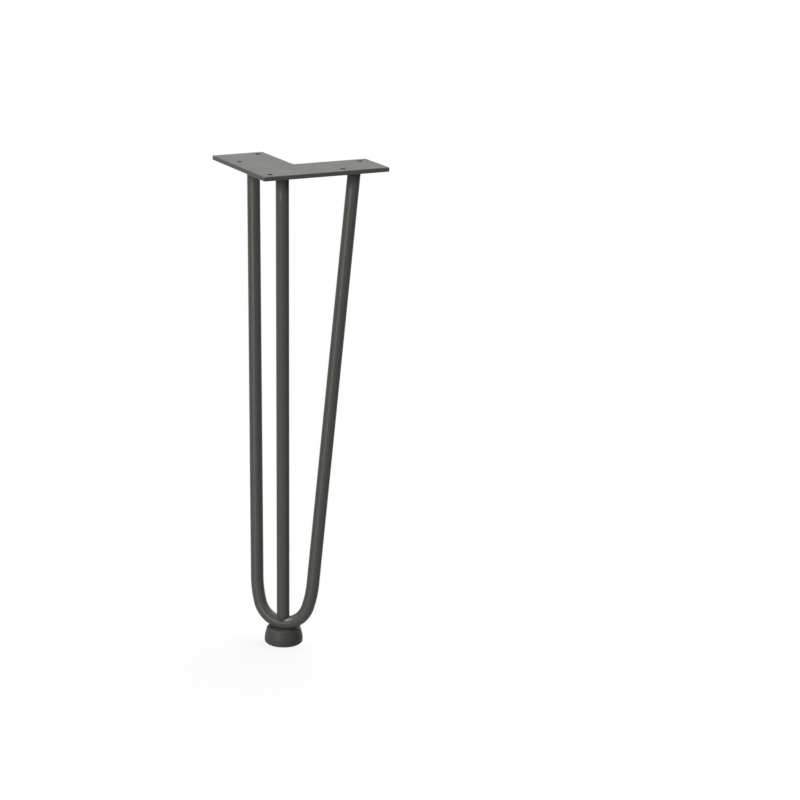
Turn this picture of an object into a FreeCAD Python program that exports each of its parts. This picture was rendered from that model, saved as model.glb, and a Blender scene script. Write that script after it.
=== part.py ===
"""Hairpin table leg: a welded steel leg with a moulded foot.

An L-shaped plate screws to the underside of a table top. Under it hang one
round rod, bent into a hairpin whose plane leans, and one straight rod that
stands on the bend. The bend sits in a groove in the top of the foot.

Lengths are in millimetres and angles in degrees. The origin is on the plate's
top face, straight above the centre rod. +Z is up, and +Y runs from the
plate's outer corner to its inner corner, so the leg is symmetric about X = 0.
"""
import FreeCAD, Part
import math
import os

from FreeCAD import Vector

# Overall
overall_height = 450.0

# Mounting plate
arm_length = 122.0
arm_width = 50.0
plate_thickness = 4.0
plate_edge_break = 0.4
hole_diameter = 5.2
hole_inset = 10.0
hole_inner_inset = 8.7
hole_edge_break = 0.15

# Rods
rod_diameter = 12.0
centre_rod_inset = 30.5
hairpin_end_inset = 19.1
hairpin_inner_inset = 17.1
bend_setback = -0.4
nose_radius = 25.0
shoulder_radius = 100.0
shoulder_turn = 13.7
cope_height = 1.8

# Welds under the plate
weld_leg = 2.6

# Foot
foot_setback = 1.2
foot_base_thickness = 13.4
foot_widest_diameter = 35.9
foot_widest_height = 3.8
foot_side_radius = 17.0
foot_taper = 14.3
foot_rim_height = 15.0
foot_crown = 1.5
foot_base_break = 1.2
foot_rim_break = 0.6

# Derived places
rod_radius = rod_diameter / 2
diagonal = math.sqrt(2)
corner_y = -centre_rod_inset * diagonal
under_plate = -plate_thickness
foot_bottom = -overall_height
bend_bottom = foot_bottom + foot_base_thickness + rod_radius


def on_plate(along_right, along_left, z=0.0):
    """Turns distances along the plate's two outer edges into a point of the part."""
    x = (along_right - along_left) / diagonal
    y = (along_right + along_left) / diagonal + corner_y
    return Vector(x, y, z)


def hole_centres():
    """The corner hole, then the near and the far pair, which make a rectangle."""
    far = arm_length - hole_inset
    side = arm_width - hole_inner_inset
    near = hole_inset + far - side
    places = [(hole_inset, hole_inset), (near, hole_inset), (hole_inset, near), (far, side), (side, far)]
    return [on_plate(right, left) for right, left in places]


def mounting_plate():
    """The L-shaped plate with its screw holes."""
    corners = [
        (0, 0),
        (arm_length, 0),
        (arm_length, arm_width),
        (arm_width, arm_width),
        (arm_width, arm_length),
        (0, arm_length),
    ]
    outline = Part.makePolygon([on_plate(right, left) for right, left in corners + corners[:1]])
    blank = Part.Face(outline).extrude(Vector(0, 0, -plate_thickness))
    plate = blank.makeChamfer(plate_edge_break, blank.Edges)
    for centre in hole_centres():
        plate = plate.cut(screw_hole(centre))
    return plate


def screw_hole(centre):
    """The space of one plain hole, opened slightly at both faces."""
    radius = hole_diameter / 2
    wide = radius + hole_edge_break
    drill = Part.makeCylinder(radius, 3 * plate_thickness, centre - Vector(0, 0, 2 * plate_thickness))
    top = Part.makeCone(radius, wide, hole_edge_break, centre - Vector(0, 0, hole_edge_break))
    bottom = Part.makeCone(wide, radius, hole_edge_break, centre - Vector(0, 0, plate_thickness))
    return drill.fuse([top, bottom])


def hairpin_top():
    """Where the axis of the hairpin's right leg meets the plate's underside."""
    return on_plate(arm_length - hairpin_end_inset, arm_width - hairpin_inner_inset, under_plate)


def hairpin_plane():
    """The bend's lowest axis point, the direction up the leaning plane, and the length up to the plate."""
    lowest = Vector(0, bend_setback, bend_bottom)
    rise = Vector(0, hairpin_top().y, under_plate) - lowest
    length = rise.Length
    return lowest, rise.normalize(), length


def leg_slope():
    """The angle between each straight leg and the hairpin's middle line.

    The leg ends at its place under the plate and touches the shoulder arc, which
    itself touches the nose arc, so the two radii and the turn fix it.
    """
    length = hairpin_plane()[2] - nose_radius
    half = hairpin_top().x
    reach = shoulder_radius + (nose_radius - shoulder_radius) * math.cos(math.radians(shoulder_turn))
    return math.acos(reach / math.hypot(half, length)) - math.atan2(length, half)


def hairpin_points():
    """Half of the hairpin's axis: the nose, the shoulder's start, middle and end, and the leg's top."""
    lowest, up, _ = hairpin_plane()
    bend_turn = math.pi / 2 - leg_slope()
    nose_turn = bend_turn - math.radians(shoulder_turn)
    nose_centre = lowest + up * nose_radius

    def outward(turn):
        return Vector(math.sin(turn), 0, 0) - up * math.cos(turn)

    shoulder_centre = nose_centre - outward(nose_turn) * (shoulder_radius - nose_radius)
    shoulder = [shoulder_centre + outward(turn) * shoulder_radius
                for turn in (nose_turn, (nose_turn + bend_turn) / 2, bend_turn)]
    return [lowest] + shoulder + [hairpin_top()]


def mirrored(point):
    """The same point on the other side of the leg."""
    return Vector(-point.x, point.y, point.z)


def leg_direction():
    """The direction in which the right leg of the hairpin rises."""
    points = hairpin_points()
    return (points[-1] - points[-2]).normalize()


def hairpin_rod():
    """One rod bent into a hairpin, with both ends cut flat under the plate."""
    nose, nose_end, shoulder_mid, shoulder_end, top = hairpin_points()
    above = top + leg_direction() * rod_diameter
    edges = [
        Part.LineSegment(above, shoulder_end).toShape(),
        Part.Arc(shoulder_end, shoulder_mid, nose_end).toShape(),
        Part.Arc(nose_end, nose, mirrored(nose_end)).toShape(),
        Part.Arc(mirrored(nose_end), mirrored(shoulder_mid), mirrored(shoulder_end)).toShape(),
        Part.LineSegment(mirrored(shoulder_end), mirrored(above)).toShape(),
    ]
    section = Part.Wire(Part.makeCircle(rod_radius, above, leg_direction()))
    bar = Part.Wire(edges).makePipeShell([section], True, False)
    return bar.cut(above_underside())


def above_underside():
    """A block that takes away everything above the plate's underside."""
    size = 3 * arm_length
    return Part.makeBox(size, size, size, Vector(-size / 2, -size / 2, under_plate))


def centre_rod(hairpin):
    """The straight rod, square under the plate and coped to the bend at its foot."""
    end = bend_bottom + cope_height
    bar = Part.makeCylinder(rod_radius, under_plate - end, Vector(0, 0, end))
    return largest(bar.cut(hairpin))


def weld_bead(seat, axis, rod):
    """A fillet weld round one rod, against the plate's underside."""
    side = Vector(1, 0, 0)
    side = (side - axis * side.dot(axis)).normalize()
    toe = rod_radius + weld_leg

    def point(radius, drop):
        return seat + side * radius - axis * drop

    corners = [
        point(rod_radius / 2, weld_leg),
        point(rod_radius, weld_leg),
        point(toe, 0),
        point(toe, -weld_leg),
        point(rod_radius / 2, -weld_leg),
    ]
    section = Part.Face(Part.makePolygon(corners + corners[:1]))
    ring = section.revolve(seat, axis, 360)
    return largest(ring.cut(above_underside()).cut(rod))


def foot_tangent_height():
    """Where the foot's rounded lower side runs into its tapered upper side."""
    return foot_widest_height + foot_side_radius * math.sin(math.radians(foot_taper))


def foot_side(height):
    """The radius of the foot's side at a height above its base."""
    rounded = min(height, foot_tangent_height())
    rise = rounded - foot_widest_height
    radius = foot_widest_diameter / 2 - foot_side_radius + math.sqrt(foot_side_radius**2 - rise**2)
    return radius - (height - rounded) * math.tan(math.radians(foot_taper))


def foot(hairpin):
    """The moulded foot: a rounded and tapered side, a crowned top and the groove for the bend."""
    def point(radius, height):
        return Vector(radius, foot_setback, foot_bottom + height)

    def on_side(height):
        return point(foot_side(height), height)

    tangent = foot_tangent_height()
    base_corner = point(foot_side(foot_base_break) - foot_base_break, 0)
    rim_corner = point(foot_side(foot_rim_height) - foot_rim_break, foot_rim_height)
    base_centre = point(0, 0)
    bulge = Part.Arc(on_side(foot_base_break), on_side((foot_base_break + tangent) / 2), on_side(tangent))
    taper = [on_side(tangent), on_side(foot_rim_height - foot_rim_break), rim_corner]
    top = [rim_corner, point(0, foot_rim_height + foot_crown), base_centre]
    base = [base_centre, base_corner, on_side(foot_base_break)]
    outline = [bulge.toShape()] + [
        Part.LineSegment(start, end).toShape()
        for corners in (taper, top, base)
        for start, end in zip(corners, corners[1:])
    ]
    section = Part.Face(Part.Wire(outline))
    return section.revolve(base_centre, Vector(0, 0, 1), 360).cut(hairpin)


def largest(shape):
    """The biggest solid of a cut."""
    return max(shape.Solids, key=lambda solid: solid.Volume)


def build():
    """Every piece of the leg, by the name of its file."""
    hairpin = hairpin_rod()
    centre = centre_rod(hairpin)
    right_top = hairpin_points()[-1]
    right_axis = leg_direction()
    up = Vector(0, 0, 1)
    return {
        "mounting_plate": mounting_plate(),
        "hairpin_rod": hairpin,
        "centre_rod": centre,
        "weld_right": weld_bead(right_top, right_axis, hairpin),
        "weld_left": weld_bead(mirrored(right_top), mirrored(right_axis), hairpin),
        "weld_centre": weld_bead(Vector(0, 0, under_plate), up, centre),
        "foot": foot(hairpin),
    }


def main():
    """Builds the leg and writes one file for each piece."""
    os.makedirs("parts", exist_ok=True)
    for name, shape in build().items():
        shape.exportStep(os.path.join("parts", name + ".step"))
        box = shape.BoundBox
        print(name, len(shape.Solids), "valid" if shape.isValid() else "INVALID", round(shape.Volume, 1),
              [round(v, 2) for v in (box.XMin, box.YMin, box.ZMin, box.XMax, box.YMax, box.ZMax)])


main()
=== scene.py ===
"""Dresses the hairpin table leg and sets it on a pale studio floor.

Lengths are in metres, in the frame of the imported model: the origin is on the
plate's top face above the centre rod, +Z is up, and +Y runs from the plate's
outer corner to its inner corner.
"""
import logging
import math
from collections.abc import Callable, Sequence
from dataclasses import dataclass, field, replace
from enum import Enum

import bmesh
import bpy
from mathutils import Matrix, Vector


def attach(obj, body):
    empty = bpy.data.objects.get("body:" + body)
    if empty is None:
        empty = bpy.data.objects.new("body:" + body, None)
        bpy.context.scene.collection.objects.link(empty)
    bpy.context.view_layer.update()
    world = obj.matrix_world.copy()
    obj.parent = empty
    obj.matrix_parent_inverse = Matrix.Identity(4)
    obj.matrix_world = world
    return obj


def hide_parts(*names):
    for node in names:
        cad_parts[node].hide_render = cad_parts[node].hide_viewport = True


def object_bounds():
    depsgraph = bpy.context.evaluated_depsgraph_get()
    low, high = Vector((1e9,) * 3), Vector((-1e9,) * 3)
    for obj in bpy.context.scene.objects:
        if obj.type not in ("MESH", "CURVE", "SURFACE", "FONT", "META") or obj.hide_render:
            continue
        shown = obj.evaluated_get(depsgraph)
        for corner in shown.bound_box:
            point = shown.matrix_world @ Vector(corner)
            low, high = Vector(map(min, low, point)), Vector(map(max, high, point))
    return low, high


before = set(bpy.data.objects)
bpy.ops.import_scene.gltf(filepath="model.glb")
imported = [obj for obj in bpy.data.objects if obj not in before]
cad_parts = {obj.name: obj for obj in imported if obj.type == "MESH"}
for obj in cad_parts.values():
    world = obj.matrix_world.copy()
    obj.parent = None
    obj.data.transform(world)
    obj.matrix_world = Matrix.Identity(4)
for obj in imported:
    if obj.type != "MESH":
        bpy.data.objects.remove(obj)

cad_low, cad_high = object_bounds()

log = logging.getLogger("leg")

Link = bpy.types.NodeSocket
Colour = tuple[float, float, float]

MM_PER_METRE = 1000.0
RIGHT = Vector((1, 0, 0))
MIRROR = Vector((-1, 1, 1))


@dataclass(frozen=True)
class LegSizes:
    """The leg's driving sizes, as its maker would state them."""

    height: float = 0.450
    arm_length: float = 0.122
    arm_width: float = 0.050
    plate_thickness: float = 0.004
    hole_radius: float = 0.0026
    hole_inset: float = 0.010
    hole_inner_inset: float = 0.0087
    rod_radius: float = 0.006
    centre_rod_inset: float = 0.0305
    hairpin_end_inset: float = 0.0191
    hairpin_inner_inset: float = 0.0171
    bend_setback: float = -0.0004
    nose_radius: float = 0.025
    shoulder_radius: float = 0.100
    shoulder_turn: float = math.radians(13.7)
    cope_height: float = 0.0018
    foot_base_thickness: float = 0.0134
    weld_leg: float = 0.0026

    @property
    def under_plate(self) -> float:
        """The height of the plate's underside."""
        return -self.plate_thickness

    def on_plate(self, along_right: float, along_left: float, z: float = 0.0) -> Vector:
        """Turns distances along the plate's two outer edges into a point.

        Args:
            along_right: The distance along the right outer edge.
            along_left: The distance along the left outer edge.
            z: The point's height.

        Returns:
            The point.
        """
        diagonal = math.sqrt(2)
        y = (along_right + along_left) / diagonal - self.centre_rod_inset * diagonal
        return Vector(((along_right - along_left) / diagonal, y, z))

    @property
    def holes(self) -> list[Vector]:
        """The places of the five screw holes.

        Returns:
            Their middles, on the plate's top face.
        """
        far = self.arm_length - self.hole_inset
        side = self.arm_width - self.hole_inner_inset
        near = self.hole_inset + far - side
        inset = self.hole_inset
        places = [(inset, inset), (near, inset), (inset, near), (far, side), (side, far)]
        return [self.on_plate(right, left) for right, left in places]

    @property
    def hairpin_top(self) -> Vector:
        """The place of the hairpin's right leg under the plate.

        Returns:
            Where the leg's axis meets the plate's underside.
        """
        along = self.arm_length - self.hairpin_end_inset
        across = self.arm_width - self.hairpin_inner_inset
        return self.on_plate(along, across, self.under_plate)

    @property
    def bend_lowest(self) -> Vector:
        """The lowest point of the bend's axis."""
        return Vector((0, self.bend_setback, self.foot_base_thickness + self.rod_radius - self.height))

    @property
    def hairpin_rise(self) -> Vector:
        """From the bend's lowest point up the leaning plane to the plate."""
        return Vector((0, self.hairpin_top.y, self.under_plate)) - self.bend_lowest

    @property
    def hairpin_up(self) -> Vector:
        """The direction up the hairpin's leaning plane."""
        return self.hairpin_rise.normalized()

    @property
    def hairpin_normal(self) -> Vector:
        """The direction square to the hairpin's leaning plane."""
        return self.hairpin_up.cross(RIGHT)

    @property
    def nose_centre(self) -> Vector:
        """The centre of the arc at the bottom of the hairpin."""
        return self.bend_lowest + self.hairpin_up * self.nose_radius


@dataclass
class NodeTree:
    """Adds and wires the nodes of one material or node group."""

    tree: bpy.types.NodeTree

    def add(
        self, kind: str, inputs: dict[str | int, object] | None = None, **settings: object
    ) -> bpy.types.Node:
        """Makes one node.

        Args:
            kind: The node's type, such as "ShaderNodeMath".
            inputs: What each input gets, a value or another node's socket.
            settings: The node's own properties.

        Returns:
            The new node.
        """
        node = self.tree.nodes.new(kind)
        for name, value in settings.items():
            setattr(node, name, value)
        for key, value in (inputs or {}).items():
            if isinstance(value, bpy.types.NodeSocket):
                self.tree.links.new(value, node.inputs[key])
            else:
                node.inputs[key].default_value = value
        return node

    def math(self, operation: str, *values: object) -> Link:
        """The result of one Math node on numbers or sockets."""
        return self.add("ShaderNodeMath", dict(enumerate(values)), operation=operation).outputs[0]

    def noise(self, place: Link, size: object, detail: float, roughness: float = 0.5) -> Link:
        """Smooth noise from 0 to 1.

        Args:
            place: The point of the surface.
            size: About how far apart the lumps are, a number or a socket.
            detail: How many finer layers are added.
            roughness: How strong the finer layers are.

        Returns:
            The noise's value.
        """
        scale = self.math("DIVIDE", 1.0, size)
        inputs = {"Vector": place, "Scale": scale, "Detail": detail, "Roughness": roughness}
        return self.add("ShaderNodeTexNoise", inputs).outputs["Fac"]

    def remap(self, value: Link, low: float, high: float) -> Link:
        """Stretches the range from low to high over 0 to 1, with soft ends."""
        inputs = {"Value": value, "From Min": low, "From Max": high}
        return self.add("ShaderNodeMapRange", inputs, interpolation_type="SMOOTHSTEP").outputs["Result"]

    def near_axes(self, places: Sequence[Vector], radius: float, edge: float) -> Link:
        """Marks what lies within a radius of one of several upright axes.

        Args:
            places: A point of each axis.
            radius: How far the mark reaches.
            edge: How far beyond the radius it fades out.

        Returns:
            1 near an axis and 0 elsewhere.
        """
        place = self.add("ShaderNodeTexCoord").outputs["Object"]
        flat = self.add("ShaderNodeVectorMath", {0: place, 1: (1.0, 1.0, 0.0)}, operation="MULTIPLY")
        distances = []
        for x, y, _ in places:
            ends = {0: flat.outputs["Vector"], 1: (x, y, 0.0)}
            distances.append(self.add("ShaderNodeVectorMath", ends, operation="DISTANCE").outputs["Value"])
        nearest = distances[0]
        for other in distances[1:]:
            nearest = self.math("MINIMUM", nearest, other)
        return self.remap(nearest, radius + edge, radius)


class Socket(Enum):
    """The kinds of socket that the node groups have."""

    VALUE = "NodeSocketFloat"
    COLOUR = "NodeSocketColor"


@dataclass
class EffectGroup:
    """A node group that several materials share."""

    name: str
    inputs: dict[str, Socket]
    outputs: dict[str, Socket]
    fill: Callable[[NodeTree, bpy.types.Node], dict[str, Link]]

    def build(self) -> bpy.types.NodeTree:
        """Makes the group once, and gives the same one after that.

        Returns:
            The node group.
        """
        made = bpy.data.node_groups.get(self.name)
        if made:
            return made
        group = bpy.data.node_groups.new(self.name, "ShaderNodeTree")
        for name, kind in self.inputs.items():
            group.interface.new_socket(name, in_out="INPUT", socket_type=kind.value)
        for name, kind in self.outputs.items():
            group.interface.new_socket(name, in_out="OUTPUT", socket_type=kind.value)
        nodes = NodeTree(group)
        entry = nodes.add("NodeGroupInput")
        nodes.add("NodeGroupOutput", self.fill(nodes, entry))
        return group


def fill_skin(nodes: NodeTree, entry: bpy.types.Node) -> dict[str, Link]:
    """A coat's or a moulding's skin: soft waves under a fine grain, in millimetres.

    Args:
        nodes: The group's own nodes.
        entry: The node with the group's inputs.

    Returns:
        The group's outputs by name.
    """
    place = nodes.add("ShaderNodeTexCoord").outputs["Object"]
    wave = nodes.noise(place, entry.outputs["Wave Size"], detail=1.5)
    grain = nodes.noise(place, entry.outputs["Grain Size"], detail=2.0)
    wave_height = nodes.math("MULTIPLY", wave, entry.outputs["Wave Depth"])
    height = nodes.math("MULTIPLY_ADD", grain, entry.outputs["Grain Depth"], wave_height)
    return {"Height": height, "Pits": nodes.remap(grain, low=0.62, high=0.38)}


def fill_tone(nodes: NodeTree, entry: bpy.types.Node) -> dict[str, Link]:
    """Slow drift of a colour over the surface, with fine pale flecks in it.

    Args:
        nodes: The group's own nodes.
        entry: The node with the group's inputs.

    Returns:
        The group's outputs by name.
    """
    place = nodes.add("ShaderNodeTexCoord").outputs["Object"]
    drift = nodes.noise(place, entry.outputs["Drift Size"], detail=3.0, roughness=0.55)
    from_middle = nodes.math("SUBTRACT", drift, 0.5)
    swing = nodes.math("MULTIPLY", from_middle, entry.outputs["Drift"])
    speckle = nodes.noise(place, entry.outputs["Fleck Size"], detail=2.0)
    fleck = nodes.remap(speckle, low=0.58, high=0.72)
    lift = nodes.math("MULTIPLY_ADD", fleck, entry.outputs["Fleck"], nodes.math("ADD", swing, 1.0))
    parts = {0: entry.outputs["Color"], "Scale": lift}
    scaled = nodes.add("ShaderNodeVectorMath", parts, operation="SCALE")
    return {"Color": scaled.outputs["Vector"]}


def fill_handling(nodes: NodeTree, entry: bpy.types.Node) -> dict[str, Link]:
    """Where hands and packing have polished the surface a little, from 0 to 1.

    Args:
        nodes: The group's own nodes.
        entry: The node with the group's inputs.

    Returns:
        The group's outputs by name.
    """
    place = nodes.add("ShaderNodeTexCoord").outputs["Object"]
    patches = nodes.noise(place, entry.outputs["Patch Size"], detail=4.0, roughness=0.6)
    patch = nodes.remap(patches, low=0.42, high=0.72)
    rub_to_patch, least_rub = 0.12, 0.4
    rub_size = nodes.math("MULTIPLY", entry.outputs["Patch Size"], rub_to_patch)
    rub = nodes.remap(nodes.noise(place, rub_size, detail=3.0), low=0.35, high=0.75)
    rubbed = nodes.math("MULTIPLY_ADD", rub, 1 - least_rub, least_rub)
    return {"Mask": nodes.math("MULTIPLY", patch, rubbed)}


SKIN = EffectGroup(
    "skin",
    {"Wave Size": Socket.VALUE, "Wave Depth": Socket.VALUE,
     "Grain Size": Socket.VALUE, "Grain Depth": Socket.VALUE},
    {"Height": Socket.VALUE, "Pits": Socket.VALUE},
    fill_skin,
)
TONE = EffectGroup(
    "tone",
    {"Color": Socket.COLOUR, "Drift Size": Socket.VALUE, "Drift": Socket.VALUE,
     "Fleck Size": Socket.VALUE, "Fleck": Socket.VALUE},
    {"Color": Socket.COLOUR},
    fill_tone,
)
HANDLING = EffectGroup("handling", {"Patch Size": Socket.VALUE}, {"Mask": Socket.VALUE}, fill_handling)


@dataclass(frozen=True)
class Finish:
    """A matt finish with a textured skin. Sizes and depths are in metres."""

    name: str
    colour: Colour
    roughness: float
    polished: float
    specular: float
    wave_size: float
    wave_depth: float
    grain_size: float
    grain_depth: float
    drift: float
    fleck: float
    painted_pit_shade: float = 0.0
    drift_size: float = 0.035
    fleck_size: float = 0.0009
    patch_size: float = 0.030
    painted_hole_shade: float = 0.65
    hole_edge: float = 0.00012

    def build(self, holes: Sequence[Vector] = (), hole_radius: float = 0.0) -> bpy.types.Material:
        """Makes the material.

        Args:
            holes: The middles of upright holes, on whose walls shade is painted into the colour.
            hole_radius: Their radius.

        Returns:
            The new material.
        """
        material = bpy.data.materials.new(self.name)
        material.use_nodes = True
        material.node_tree.nodes.clear()
        nodes = NodeTree(material.node_tree)
        skin = nodes.add("ShaderNodeGroup", node_tree=SKIN.build())
        tone = nodes.add("ShaderNodeGroup", node_tree=TONE.build())
        handling = nodes.add("ShaderNodeGroup", node_tree=HANDLING.build())
        for group, values in (
            (skin, {"Wave Size": self.wave_size, "Wave Depth": self.wave_depth * MM_PER_METRE,
                    "Grain Size": self.grain_size, "Grain Depth": self.grain_depth * MM_PER_METRE}),
            (tone, {"Color": (*self.colour, 1.0), "Drift Size": self.drift_size, "Drift": self.drift,
                    "Fleck Size": self.fleck_size, "Fleck": self.fleck}),
            (handling, {"Patch Size": self.patch_size}),
        ):
            for name, value in values.items():
                group.inputs[name].default_value = value
        # Painted shade: the colour darkens in the low pits of the grain.
        shade = nodes.math("MULTIPLY_ADD", skin.outputs["Pits"], -self.painted_pit_shade, 1.0)
        if holes:
            # Painted shade: the colour is darkened on the hole walls, where shade falls.
            hole_shade_mask = nodes.near_axes(holes, hole_radius, self.hole_edge)
            shade = nodes.math("MULTIPLY", shade, nodes.math("MULTIPLY_ADD", hole_shade_mask, -self.painted_hole_shade, 1.0))
        shaded = {0: tone.outputs["Color"], "Scale": shade}
        colour = nodes.add("ShaderNodeVectorMath", shaded, operation="SCALE")
        change = self.polished - self.roughness
        rough = nodes.math("MULTIPLY_ADD", handling.outputs["Mask"], change, self.roughness)
        relief = {"Height": skin.outputs["Height"], "Strength": 1.0, "Distance": 1 / MM_PER_METRE}
        bump = nodes.add("ShaderNodeBump", relief)
        shader = nodes.add("ShaderNodeBsdfPrincipled", {
            "Base Color": colour.outputs["Vector"],
            "Roughness": rough,
            "Normal": bump.outputs["Normal"],
            "Specular IOR Level": self.specular,
        })
        nodes.add("ShaderNodeOutputMaterial", {"Surface": shader.outputs["BSDF"]})
        return material


PLATE_COAT = Finish(
    name="anthracite_coat_on_plate", colour=(0.110, 0.111, 0.097),
    roughness=0.46, polished=0.36, specular=0.16,
    wave_size=0.0022, wave_depth=0.00003, grain_size=0.00045, grain_depth=0.000012,
    drift=0.10, fleck=0.10, painted_pit_shade=0.10,
)
ROD_COAT = replace(PLATE_COAT, name="anthracite_coat_on_rods", roughness=0.35, polished=0.30)
WELD_COAT = Finish(
    name="anthracite_coat_on_weld", colour=(0.105, 0.106, 0.093),
    roughness=0.46, polished=0.36, specular=0.20,
    wave_size=0.0012, wave_depth=0.00005, grain_size=0.00040, grain_depth=0.000016,
    drift=0.14, fleck=0.10, painted_pit_shade=0.14,
)
FOOT_PLASTIC = Finish(
    name="anthracite_moulded_plastic", colour=(0.070, 0.070, 0.064),
    roughness=0.58, polished=0.46, specular=0.20,
    wave_size=0.0035, wave_depth=0.00002, grain_size=0.00035, grain_depth=0.000020,
    drift=0.06, fleck=0.04, painted_pit_shade=0.16,
)


class Slot(Enum):
    """The part's material slots."""

    COATED_STEEL = "coated_steel"
    FOOT_PLASTIC = "foot_plastic"


def skin_of_rings(name: str, rings: Sequence[Sequence[Vector]], closed: bool = False) -> bpy.types.Object:
    """A smooth mesh through rings of points.

    Args:
        name: The piece's name.
        rings: The rings in order, each with the same number of points.
        closed: Whether the last ring joins the first; otherwise both ends get a flat cap.

    Returns:
        The new object, linked to the scene.
    """
    mesh = bmesh.new()
    rows = [[mesh.verts.new(point) for point in ring] for ring in rings]
    count = len(rings[0])
    pairs = list(zip(rows, rows[1:])) + ([(rows[-1], rows[0])] if closed else [])
    for lower, upper in pairs:
        for k in range(count):
            mesh.faces.new((lower[k], lower[(k + 1) % count], upper[(k + 1) % count], upper[k]))
    for face in mesh.faces:
        face.smooth = True
    if not closed:
        mesh.faces.new(rows[0])
        mesh.faces.new(rows[-1])
    bmesh.ops.recalc_face_normals(mesh, faces=mesh.faces)
    data = bpy.data.meshes.new(name)
    mesh.to_mesh(data)
    mesh.free()
    piece = bpy.data.objects.new(name, data)
    bpy.context.scene.collection.objects.link(piece)
    return piece


def seat(piece: bpy.types.Object, material: bpy.types.Material, nodes: Sequence[str]) -> None:
    """Gives a new piece its finish and its place in the table.

    Args:
        piece: The new piece.
        material: Its finish.
        nodes: The names of the solids that the piece stands for.
    """
    piece.data.materials.append(material)
    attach(piece, "root")
    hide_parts(*nodes)
    log.info("%s: %d faces, stands for %s", piece.name, len(piece.data.polygons), ", ".join(nodes))


def dress(name: str, material: bpy.types.Material) -> bpy.types.Object:
    """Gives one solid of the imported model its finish.

    Args:
        name: The solid's node.
        material: Its finish.

    Returns:
        The solid's object.
    """
    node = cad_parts[name]
    if not node.material_slots:
        node.data.materials.append(material)
    for slot in node.material_slots:
        slot.material = material
    log.info("%s: %d faces, dressed as it is", name, len(node.data.polygons))
    return node


@dataclass
class MountingPlate:
    """The L-shaped plate, with the coat's soft edges."""

    finish: bpy.types.Material
    edge_round: float = 0.00010
    edge_segments: int = 2
    edge_angle: float = math.radians(25)

    def build(self) -> None:
        """Dresses the plate and rounds its coat over the edges."""
        plate = dress("mounting_plate", self.finish)
        soften = plate.modifiers.new("soft_edges", "BEVEL")
        soften.width = self.edge_round
        soften.segments = self.edge_segments
        soften.limit_method = "ANGLE"
        soften.angle_limit = self.edge_angle
        soften.harden_normals = True


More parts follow.
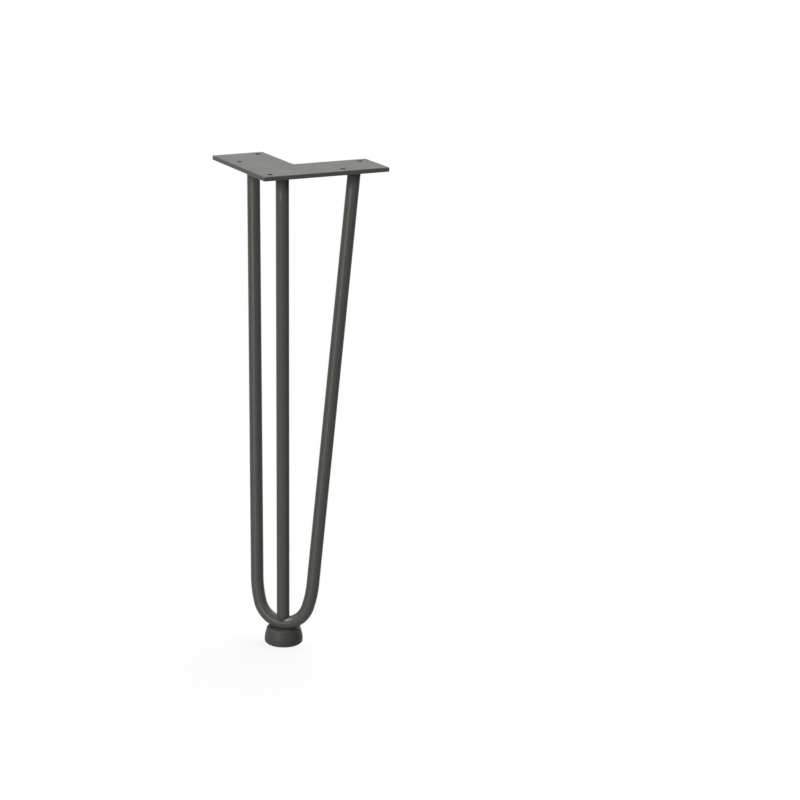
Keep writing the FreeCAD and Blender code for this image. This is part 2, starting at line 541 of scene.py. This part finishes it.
@dataclass
class Rods:
    """The bent hairpin rod and the straight rod that stands on its bend.

    The cope's top is in rod radii above the bend's axis, where the straight rod's
    plain part starts.
    """

    sizes: LegSizes
    finish: bpy.types.Material
    around: int = 72
    nose_steps: int = 72
    shoulder_steps: int = 20
    straight_steps: int = 16
    cope_top: float = 1.6
    cope_halvings: int = 40

    def outward(self, turn: float) -> Vector:
        """The direction from an arc's centre at a turn from straight down the leaning plane."""
        return Vector((math.sin(turn), 0, 0)) - self.sizes.hairpin_up * math.cos(turn)

    def along(self, turn: float) -> Vector:
        """The axis's direction at a turn from straight down the leaning plane."""
        return Vector((math.cos(turn), 0, 0)) + self.sizes.hairpin_up * math.sin(turn)

    def right_half(self) -> list[tuple[Vector, Vector]]:
        """The hairpin's axis from its lowest point up to the plate.

        Returns:
            The axis points in order, each with the axis's direction there.
        """
        sizes = self.sizes
        rise = sizes.hairpin_rise.length - sizes.nose_radius
        half = sizes.hairpin_top.x
        wider = sizes.shoulder_radius - sizes.nose_radius
        reach = sizes.shoulder_radius - wider * math.cos(sizes.shoulder_turn)
        slope = math.acos(reach / math.hypot(half, rise)) - math.atan2(rise, half)
        bend_turn = math.pi / 2 - slope
        nose_turn = bend_turn - sizes.shoulder_turn
        shoulder_centre = sizes.nose_centre - self.outward(nose_turn) * wider
        points = []
        for step in range(self.nose_steps // 2 + 1):
            turn = nose_turn * step / (self.nose_steps // 2)
            points.append((sizes.nose_centre + self.outward(turn) * sizes.nose_radius, self.along(turn)))
        for step in range(1, self.shoulder_steps + 1):
            turn = nose_turn + sizes.shoulder_turn * step / self.shoulder_steps
            points.append((shoulder_centre + self.outward(turn) * sizes.shoulder_radius, self.along(turn)))
        low, direction = points[-1]
        for step in range(1, self.straight_steps + 1):
            points.append((low.lerp(sizes.hairpin_top, step / self.straight_steps), direction))
        return points

    def ring(self, centre: Vector, direction: Vector, side: Vector) -> list[Vector]:
        """A round section of the rod, square to its direction.

        Args:
            centre: The axis point.
            direction: The axis's direction.
            side: A direction square to the axis, where the section starts.

        Returns:
            The section's points.
        """
        other = direction.cross(side)
        turns = (2 * math.pi * k / self.around for k in range(self.around))
        return [centre + (side * math.cos(t) + other * math.sin(t)) * self.sizes.rod_radius for t in turns]

    def cut_flat(self, ring: Sequence[Vector], direction: Vector) -> list[Vector]:
        """Slides a ring's points along the rod until they meet the plate's underside."""
        return [p + direction * ((self.sizes.under_plate - p.z) / direction.z) for p in ring]

    def hairpin(self) -> bpy.types.Object:
        """The hairpin rod in one piece.

        Returns:
            The new object.
        """
        half = self.right_half()
        left = [(point * MIRROR, -(direction * MIRROR)) for point, direction in reversed(half[1:])]
        axis = left + half
        rings = [self.ring(point, direction, self.sizes.hairpin_normal) for point, direction in axis]
        rings[0] = self.cut_flat(rings[0], axis[0][1])
        rings[-1] = self.cut_flat(rings[-1], axis[-1][1])
        return skin_of_rings("bent_rod", rings)

    def inside_bend(self, point: Vector) -> bool:
        """Whether a point lies in the bend's nose.

        Args:
            point: The point to try.

        Returns:
            True in the rod, false outside it.
        """
        sizes = self.sizes
        reach = point - sizes.nose_centre
        radial = math.hypot(reach.x, reach.dot(sizes.hairpin_up)) - sizes.nose_radius
        return math.hypot(radial, reach.dot(sizes.hairpin_normal)) <= sizes.rod_radius

    def bend_surface(self, x: float, y: float) -> float:
        """How high the bend's upper surface is under a point of the straight rod.

        Args:
            x: The point's place to the right.
            y: The point's place to the back.

        Returns:
            The height, or the straight rod's lowest end where the bend isn't below the point.
        """
        low = self.sizes.bend_lowest.z + self.sizes.cope_height
        if not self.inside_bend(Vector((x, y, low))):
            return low
        high = low + 2 * self.sizes.rod_radius
        for _ in range(self.cope_halvings):
            middle = (low + high) / 2
            low, high = (middle, high) if self.inside_bend(Vector((x, y, middle))) else (low, middle)
        return high

    def straight(self) -> bpy.types.Object:
        """The straight rod, its lower end shaped to the bend.

        Returns:
            The new object.
        """
        radius = self.sizes.rod_radius
        turns = [2 * math.pi * k / self.around for k in range(self.around)]
        plan = [(radius * math.cos(t), radius * math.sin(t)) for t in turns]
        end = [Vector((x, y, self.bend_surface(x, y))) for x, y in plan]
        clear = self.sizes.bend_lowest.z + self.cope_top * radius
        length = self.sizes.under_plate - clear
        heights = [clear + length * k / self.straight_steps for k in range(self.straight_steps + 1)]
        rings = [end] + [[Vector((x, y, z)) for x, y in plan] for z in heights]
        return skin_of_rings("straight_rod", rings)

    def build(self) -> None:
        """Makes both rods."""
        seat(self.hairpin(), self.finish, ["hairpin_rod"])
        seat(self.straight(), self.finish, ["centre_rod"])


@dataclass
class Weld:
    """A fillet weld laid round one rod top, with the ripples of its passes.

    The shares are of the bead's leg. Flatness is how far the bead falls short of a
    quarter round, and the root is how far it reaches into the rod.
    """

    name: str
    node: str
    top: Vector
    axis: Vector
    sizes: LegSizes
    finish: bpy.types.Material
    start: float = 0.0
    ripples: int = 26
    around: int = 208
    across: int = 8
    even_share: float = 0.84
    ripple_share: float = 0.10
    overlap_share: float = 0.06
    overlap_turn: float = 0.25
    flatness: float = 0.24
    inner_share: float = 0.9
    root: float = 0.0004

    def leg(self, turn: float) -> float:
        """The bead's size, whose ripples overlap.

        Args:
            turn: The angle about the rod.

        Returns:
            The bead's leg there.
        """
        phase = (turn * self.ripples / (2 * math.pi)) % 1.0
        ripple = math.sqrt(max(0.0, 1 - (2 * phase - 1) ** 2))
        since = (turn - self.start) % (2 * math.pi)
        overlap = math.exp(-((min(since, 2 * math.pi - since) / self.overlap_turn) ** 2))
        share = self.even_share + self.ripple_share * ripple + self.overlap_share * overlap
        return self.sizes.weld_leg * share

    def section(self, turn: float) -> list[Vector]:
        """The bead's outline, convex from the plate to the rod and closed inside.

        Args:
            turn: The angle about the rod.

        Returns:
            The outline's points.
        """
        side = (RIGHT - self.axis * self.axis.x).normalized()
        outward = side * math.cos(turn) + self.axis.cross(side) * math.sin(turn)
        on_rod = self.top + outward * self.sizes.rod_radius
        corner = on_rod + self.axis * ((self.sizes.under_plate - on_rod.z) / self.axis.z)
        away = Vector((outward.x, outward.y, 0)).normalized()
        leg = self.leg(turn)
        points = []
        for k in range(self.across + 1):
            angle = math.pi / 2 * k / self.across
            share = 1.0 - self.flatness * math.sin(2 * angle)
            reach = away * math.cos(angle) - self.axis * math.sin(angle)
            points.append(corner + reach * leg * share)
        points.append(corner - outward * self.root - self.axis * leg * self.inner_share)
        points.append(corner - outward * self.root)
        return points

    def build(self) -> None:
        """Makes the bead."""
        turns = [2 * math.pi * k / self.around for k in range(self.around)]
        piece = skin_of_rings(self.name, [self.section(turn) for turn in turns], closed=True)
        seat(piece, self.finish, [self.node])


@dataclass
class Foot:
    """The moulded foot under the bend."""

    finish: bpy.types.Material

    def build(self) -> None:
        """Dresses the foot."""
        dress("foot", self.finish)


@dataclass
class HairpinLeg:
    """The whole leg."""

    sizes: LegSizes = field(default_factory=LegSizes)

    def build(self) -> None:
        """Makes and dresses every piece. Each weld starts and ends at a turn of its own."""
        weld_coat = WELD_COAT.build()
        rods = Rods(self.sizes, ROD_COAT.build())
        MountingPlate(PLATE_COAT.build(self.sizes.holes, self.sizes.hole_radius)).build()
        rods.build()
        top, axis = self.sizes.hairpin_top, rods.right_half()[-1][1]
        middle, up = Vector((0, 0, self.sizes.under_plate)), Vector((0, 0, 1))
        for name, node, place, direction, start in (
            ("weld_bead_right", "weld_right", top, axis, 1.2),
            ("weld_bead_left", "weld_left", top * MIRROR, axis * MIRROR, 1.9),
            ("weld_bead_centre", "weld_centre", middle, up, 4.4),
        ):
            Weld(name, node, place, direction, self.sizes, weld_coat, start).build()
        Foot(FOOT_PLASTIC.build()).build()


def toward(azimuth: float, elevation: float) -> Vector:
    """The direction to something at an azimuth and elevation in degrees.

    Args:
        azimuth: The turn about the leg: 0 is straight in front, 90 is to the right.
        elevation: The height above the horizon.

    Returns:
        The direction, one metre long.
    """
    turn, rise = math.radians(azimuth), math.radians(elevation)
    return Vector((math.sin(turn) * math.cos(rise), -math.cos(turn) * math.cos(rise), math.sin(rise)))


class Share(Enum):
    """What a light shows in."""

    ALL = "all"
    DIFFUSE = "diffuse"
    GLOSS = "gloss"


@dataclass(frozen=True)
class SoftLight:
    """A wide, far light, which lights the leg and the floor evenly. Angles are in degrees."""

    name: str
    azimuth: float
    elevation: float
    width: float
    level: float
    share: Share = Share.ALL
    distance: float = 3.0

    def build(self) -> None:
        """Hangs the light, which gives a white surface that faces it this level."""
        lamp = bpy.data.lights.new(self.name, "SUN")
        lamp.angle = math.radians(self.width)
        lamp.energy = math.pi * self.level
        holder = bpy.data.objects.new(self.name, lamp)
        direction = toward(self.azimuth, self.elevation)
        holder.location = direction * self.distance
        holder.visible_diffuse = self.share is not Share.GLOSS
        holder.visible_glossy = self.share is not Share.DIFFUSE
        holder.rotation_euler = (-direction).to_track_quat("-Z", "Y").to_euler()
        bpy.context.scene.collection.objects.link(holder)
        log.info("%s: level %.2f, %.0f degrees wide", self.name, self.level, self.width)


def white_for(nodes: NodeTree) -> Link:
    """Tells the rays that see the white background from those that only light.

    Args:
        nodes: The material's or the world's nodes.

    Returns:
        1 for camera, glossy and transmission rays, otherwise 0.
    """
    rays = nodes.add("ShaderNodeLightPath").outputs
    through = nodes.math("MAXIMUM", rays["Is Glossy Ray"], rays["Is Transmission Ray"])
    return nodes.math("MAXIMUM", rays["Is Camera Ray"], through)


@dataclass
class Studio:
    """The pale floor, the even surroundings, the soft lights and the camera.

    The key is in front of the leg and low, so that the plate's shadow stays short.
    The back light keeps the far side from going dark, and the gloss light makes
    the glint on the bend.
    """

    floor_height: float
    aim: Vector = field(default_factory=lambda: Vector((0.0161, 0.0021, -0.2128)))
    azimuth: float = 21.167
    elevation: float = 15.552
    distance: float = 2.240
    lens: float = 110.25
    sensor_width: float = 36.0
    nearest_seen: float = 0.05
    farthest_seen: float = 40.0
    leg_left_of_middle: float = 0.125
    floor_radius: float = 9.0
    floor_sides: int = 96
    floor_gap: float = 0.00005
    floor_colour: Colour = (0.12, 0.12, 0.12)
    floor_glow: float = 0.875
    surroundings: float = 0.09
    lights: tuple[SoftLight, ...] = (
        SoftLight("overhead", 175.0, 67.0, 40.0, 0.94),
        SoftLight("key", -10.0, 9.5, 19.0, 0.54),
        SoftLight("back", 201.0, 8.0, 30.0, 0.26, Share.DIFFUSE),
        SoftLight("gloss", -54.0, 47.0, 28.0, 1.85, Share.GLOSS),
    )

    def floor(self) -> None:
        """A round pale floor that keeps the leg's shadow and is clear from below."""
        mesh = bmesh.new()
        bmesh.ops.create_circle(mesh, cap_ends=True, segments=self.floor_sides, radius=self.floor_radius)
        data = bpy.data.meshes.new("floor")
        mesh.to_mesh(data)
        mesh.free()
        disc = bpy.data.objects.new("floor", data)
        disc.location.z = self.floor_height - self.floor_gap
        bpy.context.scene.collection.objects.link(disc)
        material = bpy.data.materials.new("pale_floor")
        material.use_nodes = True
        material.node_tree.nodes.clear()
        nodes = NodeTree(material.node_tree)
        matt = nodes.add("ShaderNodeBsdfDiffuse", {"Color": (*self.floor_colour, 1.0)})
        strength = nodes.math("MULTIPLY", white_for(nodes), self.floor_glow)
        glow = nodes.add("ShaderNodeEmission", {"Strength": strength})
        top = nodes.add("ShaderNodeAddShader", {0: matt.outputs[0], 1: glow.outputs[0]})
        below = nodes.add("ShaderNodeNewGeometry").outputs["Backfacing"]
        clear = nodes.add("ShaderNodeBsdfTransparent")
        both = nodes.add("ShaderNodeMixShader", {0: below, 1: top.outputs[0], 2: clear.outputs[0]})
        nodes.add("ShaderNodeOutputMaterial", {"Surface": both.outputs[0]})
        data.materials.append(material)

    def world(self) -> None:
        """Even pale surroundings that the camera and gloss see as white."""
        world = bpy.data.worlds.new("surroundings")
        world.use_nodes = True
        world.node_tree.nodes.clear()
        nodes = NodeTree(world.node_tree)
        brighter = 1.0 - self.surroundings
        strength = nodes.math("MULTIPLY_ADD", white_for(nodes), brighter, self.surroundings)
        back = nodes.add("ShaderNodeBackground", {"Color": (1.0, 1.0, 1.0, 1.0), "Strength": strength})
        nodes.add("ShaderNodeOutputWorld", {"Surface": back.outputs["Background"]})
        bpy.context.scene.world = world

    def camera(self) -> None:
        """A long lens from the front right, with the leg left of the middle."""
        lens = bpy.data.cameras.new("camera")
        lens.sensor_width = self.sensor_width
        lens.lens = self.lens
        lens.shift_x = self.leg_left_of_middle
        lens.clip_start = self.nearest_seen
        lens.clip_end = self.farthest_seen
        holder = bpy.data.objects.new("camera", lens)
        back = toward(self.azimuth, self.elevation)
        holder.location = self.aim + back * self.distance
        holder.rotation_euler = (-back).to_track_quat("-Z", "Y").to_euler()
        bpy.context.scene.collection.objects.link(holder)
        bpy.context.scene.camera = holder

    def build(self) -> None:
        """Sets up the floor, the surroundings, the lights and the camera."""
        bpy.context.scene.view_settings.view_transform = "Standard"
        self.floor()
        self.world()
        for light in self.lights:
            light.build()
        self.camera()


def main() -> None:
    """Builds the leg and the studio."""
    logging.basicConfig(level=logging.INFO, format="%(name)s: %(message)s")
    HairpinLeg().build()
    Studio(floor_height=cad_low.z).build()


if __name__ == "__main__":
    main()
